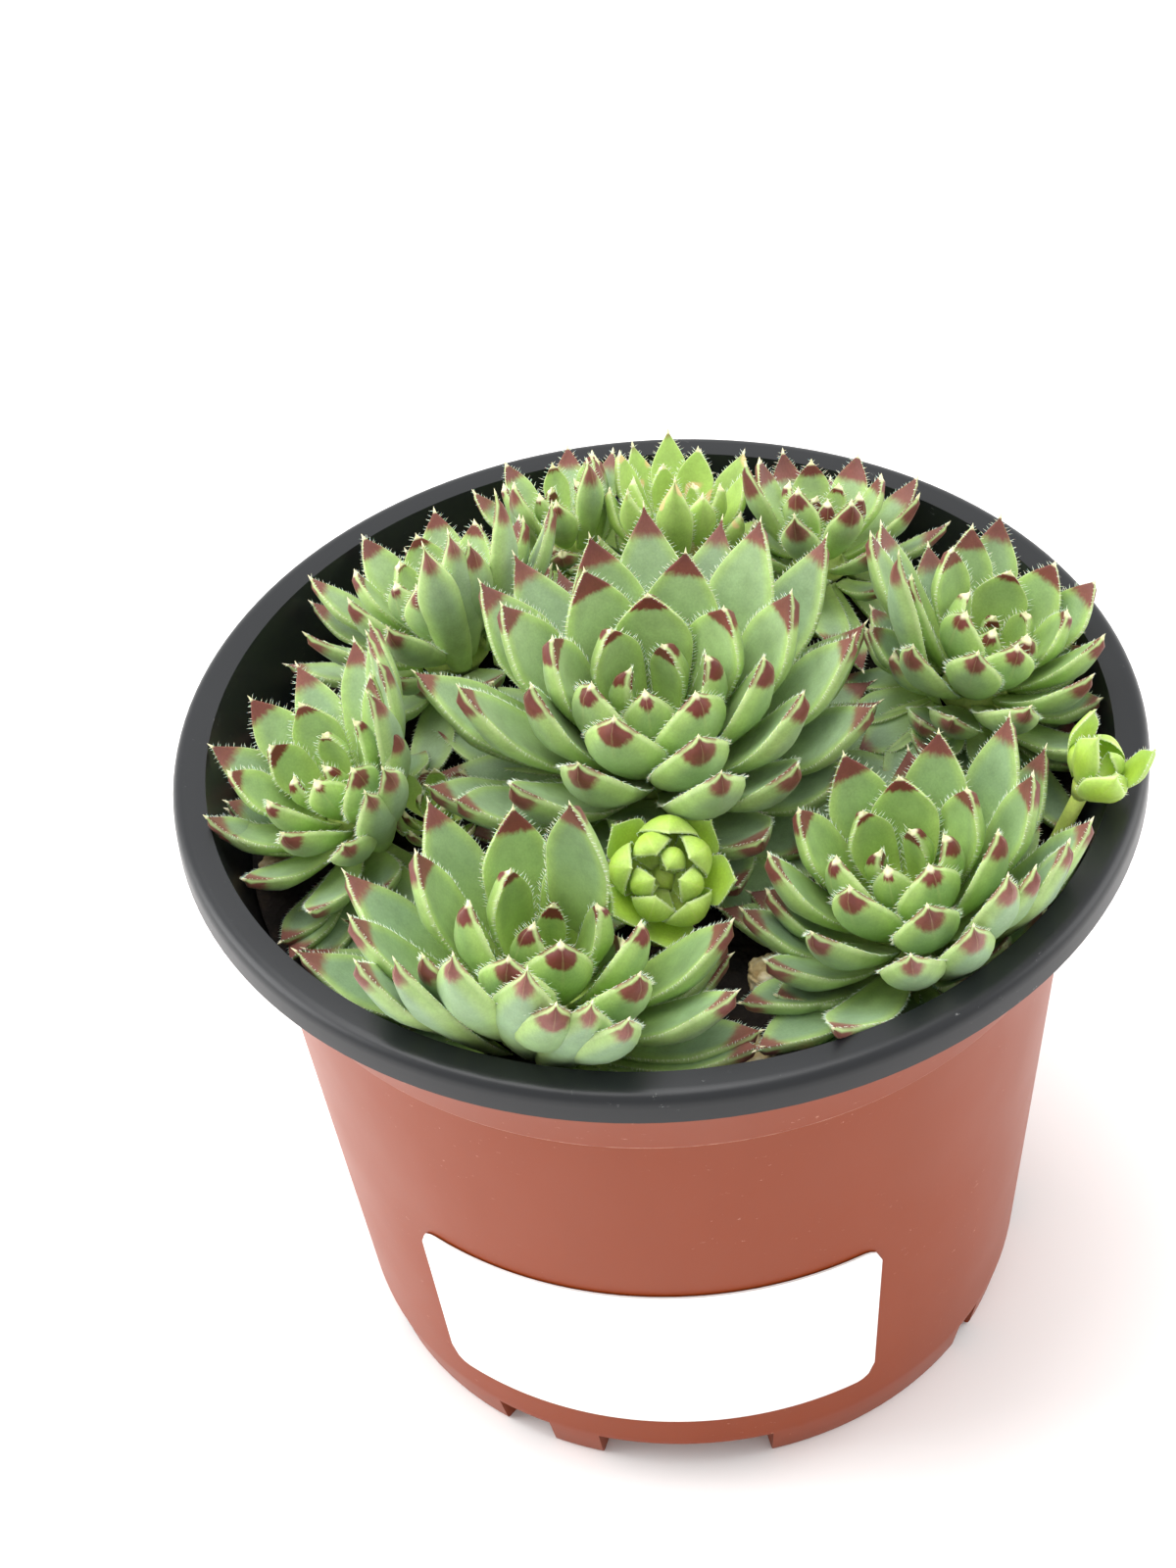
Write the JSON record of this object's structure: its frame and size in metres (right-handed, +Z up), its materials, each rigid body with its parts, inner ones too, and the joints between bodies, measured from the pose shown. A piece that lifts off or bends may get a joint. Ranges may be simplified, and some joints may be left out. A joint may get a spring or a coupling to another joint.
{
  "type": "hens and chicks in a nursery pot",
  "caption": "Hens and chicks succulent colony: a large rosette ringed by smaller rosettes and young offsets, rooted in potting mix in a round rimmed nursery pot with a blank label.",
  "frame": {"origin": "middle of the pot's base, on the surface that the pot stands on", "axes": "+Z up along the pot's axis; the label faces -Y; the longest leaves of the front rosettes point to -Y"},
  "size_m": [0.108, 0.108, 0.1005],
  "materials": {
    "pot": "satin thermoformed plastic, terracotta outside, black inside and on the rim",
    "label": "blank white coated paper",
    "soil": "dark moist potting mix of peat and fine bark",
    "pumice": "porous, dusty",
    "leaf": "waxy blue-green leaf with maroon tips, soft sheen",
    "leaf_fresh": "young bright green leaf, soft sheen"
  },
  "bodies": {
    "root": {"pot": "pot", "label": "label", "soil": "soil", "pumice_1": "pumice", "pumice_2": "pumice", "pumice_3": "pumice", "pumice_4": "pumice", "pumice_5": "pumice", "hen": "leaf", "chick_front_left": "leaf", "chick_front_right": "leaf", "chick_right": "leaf", "chick_left": "leaf", "chick_left_back": "leaf", "chick_back": "leaf_fresh", "chick_back_left": "leaf", "chick_back_right": "leaf", "offset_ball": "leaf_fresh", "offset_bud": "leaf_fresh", "offset_low": "leaf_fresh"}
  },
  "joints": []
}
